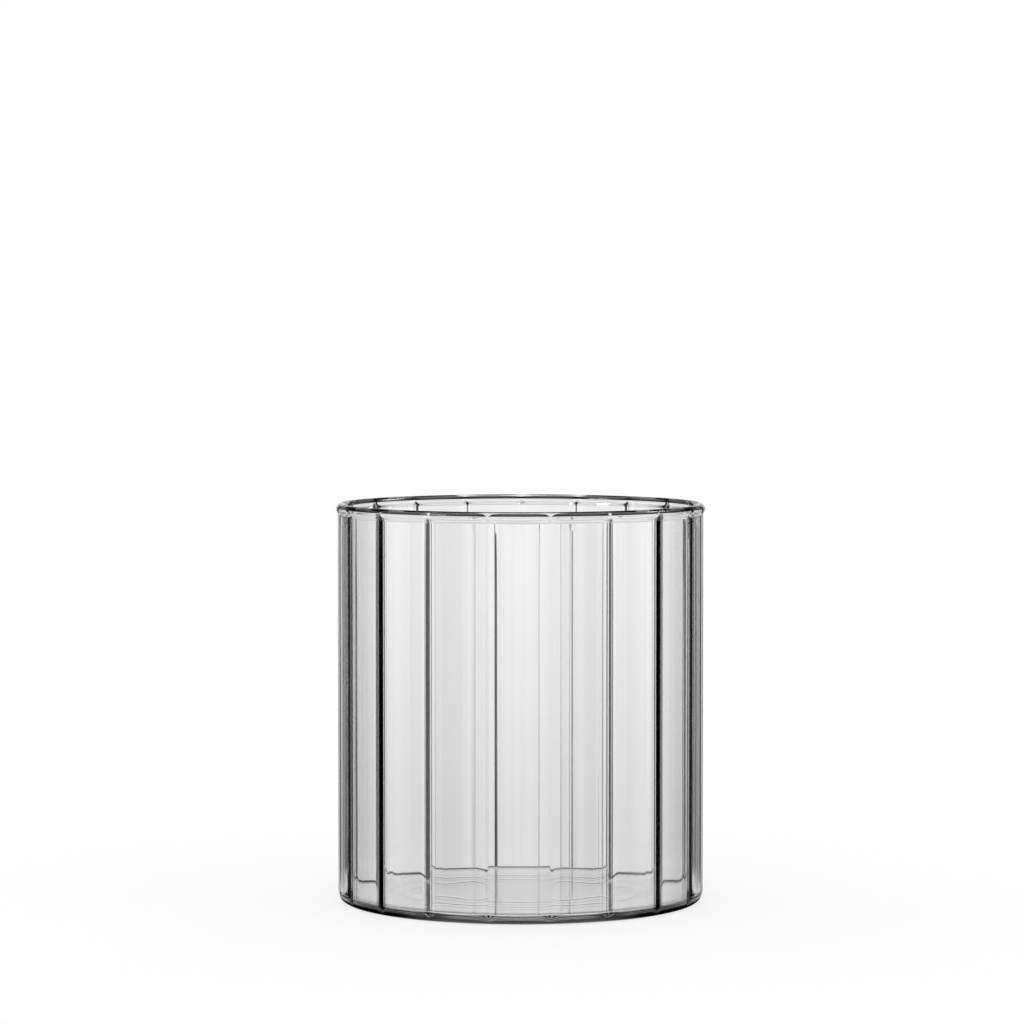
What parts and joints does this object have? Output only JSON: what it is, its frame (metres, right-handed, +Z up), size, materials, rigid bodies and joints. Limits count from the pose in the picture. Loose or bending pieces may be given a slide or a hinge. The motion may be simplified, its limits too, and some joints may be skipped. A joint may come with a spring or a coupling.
{
  "type": "rocks glass",
  "caption": "Straight clear glass tumbler with a vertically fluted thin wall, a smooth rounded lip and a flat base with a rounded heel, for short drinks over ice.",
  "frame": {"origin": "centre of the flat underside, on the table", "axes": "+Z up along the axis of the glass; the glass is round, so X and Y are free"},
  "size_m": [0.0826, 0.0825, 0.089],
  "materials": {
    "clear_glass": "fire polished"
  },
  "bodies": {
    "root": {"fluted_wall": "clear_glass", "base_disc": "clear_glass", "rim_lip": "clear_glass"}
  },
  "joints": []
}
